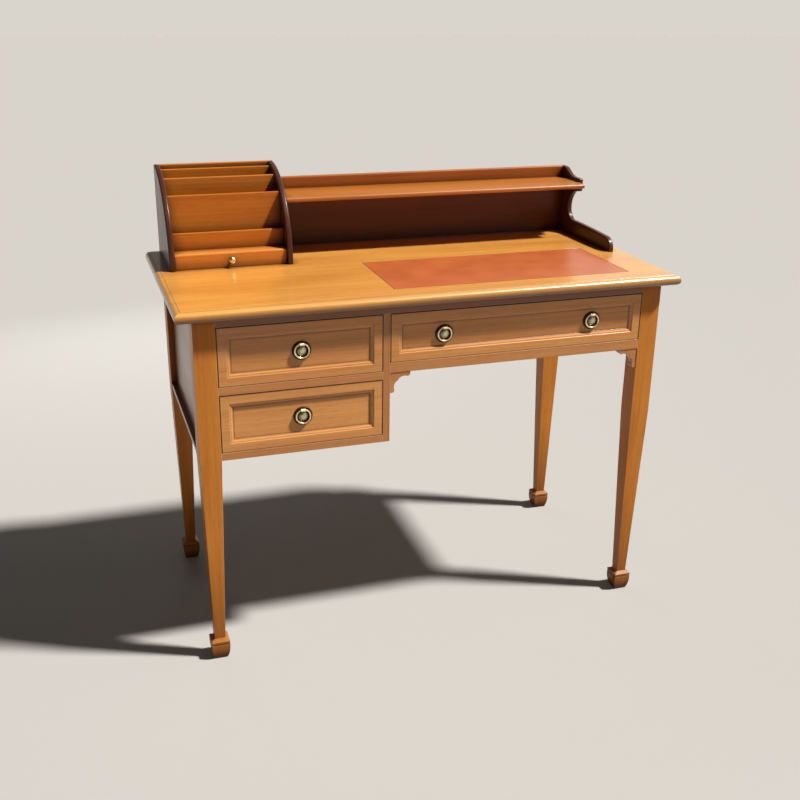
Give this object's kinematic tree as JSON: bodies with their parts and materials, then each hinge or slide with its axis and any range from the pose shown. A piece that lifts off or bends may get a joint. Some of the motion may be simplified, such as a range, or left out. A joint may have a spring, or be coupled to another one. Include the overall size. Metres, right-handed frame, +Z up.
{
  "type": "bonheur du jour writing desk",
  "caption": "Small wooden writing desk with a drawer pedestal, a kneehole drawer, ring pulls, tapered legs on spade feet, a leather inset, a letter rack and a low gallery shelf.",
  "frame": {"origin": "on the floor, under the middle of the desk top", "axes": "+X to the right as seen by someone seated, +Y to the back, +Z up"},
  "size_m": [1.05, 0.51, 0.952],
  "materials": {
    "case_wood": "polished",
    "top_wood": "polished",
    "front_wood": "polished",
    "rack_wood": "polished",
    "lining_wood": "plain sanded",
    "leather": "smooth",
    "brass": "aged"
  },
  "bodies": {
    "desk": {"desk_top": "top_wood", "leather_inset": "leather", "front_left_leg": "case_wood", "front_right_leg": "case_wood", "back_left_leg": "case_wood", "back_right_leg": "case_wood", "left_side_panel": "case_wood", "right_side_apron": "case_wood", "pedestal_back_panel": "case_wood", "kneehole_back_apron": "case_wood", "top_front_rail": "case_wood", "drawer_divider_rail": "case_wood", "pedestal_bottom_rail": "case_wood", "kneehole_rail": "case_wood", "pedestal_partition": "case_wood", "left_kneehole_bracket": "case_wood", "right_kneehole_bracket": "case_wood", "drawer_runners": "lining_wood", "guides_and_stops": "lining_wood", "kicker_rails": "lining_wood", "rack_left_side": "rack_wood", "rack_right_side": "rack_wood", "rack_back": "rack_wood", "rack_dust_board": "rack_wood", "rack_divider_1": "rack_wood", "rack_divider_2": "rack_wood", "rack_divider_3": "rack_wood", "rack_divider_4": "rack_wood", "gallery_back": "rack_wood", "gallery_right_side": "rack_wood", "gallery_shelf": "rack_wood"},
    "upper_drawer": {"upper_drawer_front": "front_wood", "upper_drawer_left_side": "lining_wood", "upper_drawer_right_side": "lining_wood", "upper_drawer_back": "lining_wood", "upper_drawer_bottom": "lining_wood", "upper_pull_plate": "brass"},
    "lower_drawer": {"lower_drawer_front": "front_wood", "lower_drawer_left_side": "lining_wood", "lower_drawer_right_side": "lining_wood", "lower_drawer_back": "lining_wood", "lower_drawer_bottom": "lining_wood", "lower_pull_plate": "brass"},
    "wide_drawer": {"wide_drawer_front": "front_wood", "wide_drawer_left_side": "lining_wood", "wide_drawer_right_side": "lining_wood", "wide_drawer_back": "lining_wood", "wide_drawer_bottom": "lining_wood", "wide_left_pull_plate": "brass", "wide_right_pull_plate": "brass"},
    "rack_drawer": {"rack_drawer_front": "front_wood", "rack_drawer_left_side": "lining_wood", "rack_drawer_right_side": "lining_wood", "rack_drawer_back": "lining_wood", "rack_drawer_bottom": "lining_wood", "rack_drawer_knob": "brass"},
    "upper_ring": {"upper_pull_ring": "brass"},
    "lower_ring": {"lower_pull_ring": "brass"},
    "wide_left_ring": {"wide_left_pull_ring": "brass"},
    "wide_right_ring": {"wide_right_pull_ring": "brass"}
  },
  "joints": [
    {"name": "upper_drawer_slide", "type": "slide", "parent": "desk", "child": "upper_drawer", "axis": [0, -1, 0], "range_m": [0, 0.32]},
    {"name": "lower_drawer_slide", "type": "slide", "parent": "desk", "child": "lower_drawer", "axis": [0, -1, 0], "range_m": [0, 0.32]},
    {"name": "wide_drawer_slide", "type": "slide", "parent": "desk", "child": "wide_drawer", "axis": [0, -1, 0], "range_m": [0, 0.32]},
    {"name": "rack_drawer_slide", "type": "slide", "parent": "desk", "child": "rack_drawer", "axis": [0, -1, 0], "range_m": [0, 0.12]},
    {"name": "upper_ring_swing", "type": "hinge", "parent": "upper_drawer", "child": "upper_ring", "pos_m": [-0.2855, -0.233, 0.67571], "axis": [-1, 0, 0], "range_deg": [0, 110]},
    {"name": "lower_ring_swing", "type": "hinge", "parent": "lower_drawer", "child": "lower_ring", "pos_m": [-0.2855, -0.233, 0.54021], "axis": [-1, 0, 0], "range_deg": [0, 110]},
    {"name": "wide_left_ring_swing", "type": "hinge", "parent": "wide_drawer", "child": "wide_left_ring", "pos_m": [0.00675, -0.233, 0.68421], "axis": [-1, 0, 0], "range_deg": [0, 110]},
    {"name": "wide_right_ring_swing", "type": "hinge", "parent": "wide_drawer", "child": "wide_right_ring", "pos_m": [0.33475, -0.233, 0.68421], "axis": [-1, 0, 0], "range_deg": [0, 110]}
  ]
}
